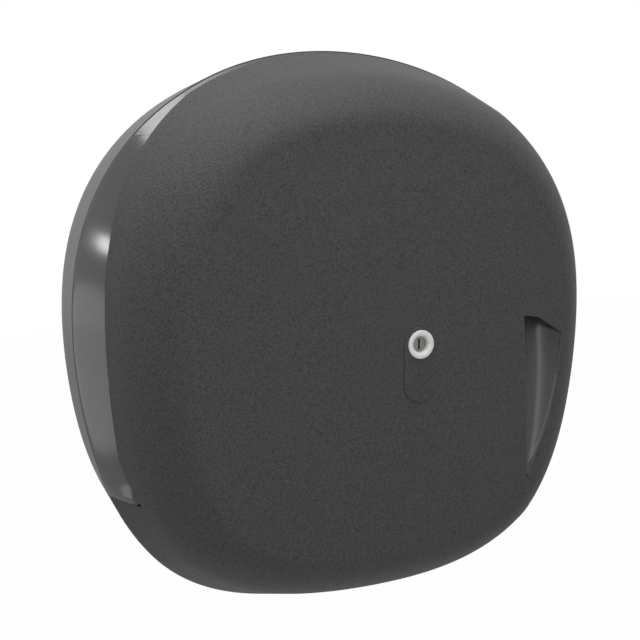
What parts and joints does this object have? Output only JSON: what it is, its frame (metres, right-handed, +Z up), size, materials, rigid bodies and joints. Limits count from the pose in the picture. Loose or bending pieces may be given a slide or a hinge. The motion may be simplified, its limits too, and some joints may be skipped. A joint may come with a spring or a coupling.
{
  "type": "jumbo toilet roll dispenser",
  "caption": "Wall-mounted jumbo toilet roll dispenser: a side-hinged lockable cover, side windows, a free-turning roll hub and an open paper outlet with tear bars.",
  "frame": {"origin": "on the wall face, at the roll hub's axis and in the middle of the wall screw pattern", "axes": "+X to the right, +Y into the wall, +Z up"},
  "size_m": [0.368, 0.137, 0.378],
  "materials": {
    "case_plastic": "satin dark grey ABS",
    "cover_plastic": "fine leather-grained dark grey ABS",
    "smoked_plastic": "polished smoke-dark plastic",
    "white_acetal": "white acetal",
    "natural_nylon": "natural nylon",
    "lock_core": "grey die-cast zinc",
    "felt": "felt",
    "zinc_steel": "zinc-plated pressed steel",
    "stainless_steel": "stainless steel"
  },
  "bodies": {
    "case": {"rear_case": "case_plastic", "window_left": "smoked_plastic", "window_right": "smoked_plastic", "window_screws": "stainless_steel", "hub_spindle": "case_plastic", "spindle_screws": "stainless_steel", "brake_washer": "felt", "lock_keeper": "natural_nylon", "keeper_screw": "stainless_steel", "hinge_bracket_upper": "zinc_steel", "hinge_bracket_lower": "zinc_steel", "hinge_pin_upper": "stainless_steel", "hinge_pin_lower": "stainless_steel", "bracket_screws": "stainless_steel", "paper_guide": "case_plastic", "guide_screws": "stainless_steel", "tear_bar_left": "stainless_steel", "tear_bar_right": "stainless_steel", "tear_bar_screws": "stainless_steel"},
    "roll_hub": {"roll_sleeve": "case_plastic", "roll_disc": "case_plastic"},
    "cover": {"front_cover": "cover_plastic", "grip_insert": "smoked_plastic", "lock_plate": "cover_plastic", "lock_collar": "white_acetal", "lock_nut": "zinc_steel", "hinge_arm_upper": "zinc_steel", "hinge_arm_lower": "zinc_steel", "arm_screws": "stainless_steel"},
    "lock": {"lock_barrel": "lock_core", "lock_cam": "zinc_steel", "cam_screw": "stainless_steel"}
  },
  "joints": [
    {"name": "hub_spin", "type": "hinge", "parent": "case", "child": "roll_hub", "pos_m": [0, -0.057, 0], "axis": [0, 1, 0], "continuous": true},
    {"name": "cover_hinge", "type": "hinge", "parent": "case", "child": "cover", "pos_m": [-0.142, -0.045, 0], "axis": [0, 0, -1], "range_deg": [0, 80]},
    {"name": "lock_turn", "type": "hinge", "parent": "cover", "child": "lock", "pos_m": [0.0185, -0.125, 0], "axis": [0, 1, 0], "range_deg": [0, 90]}
  ]
}
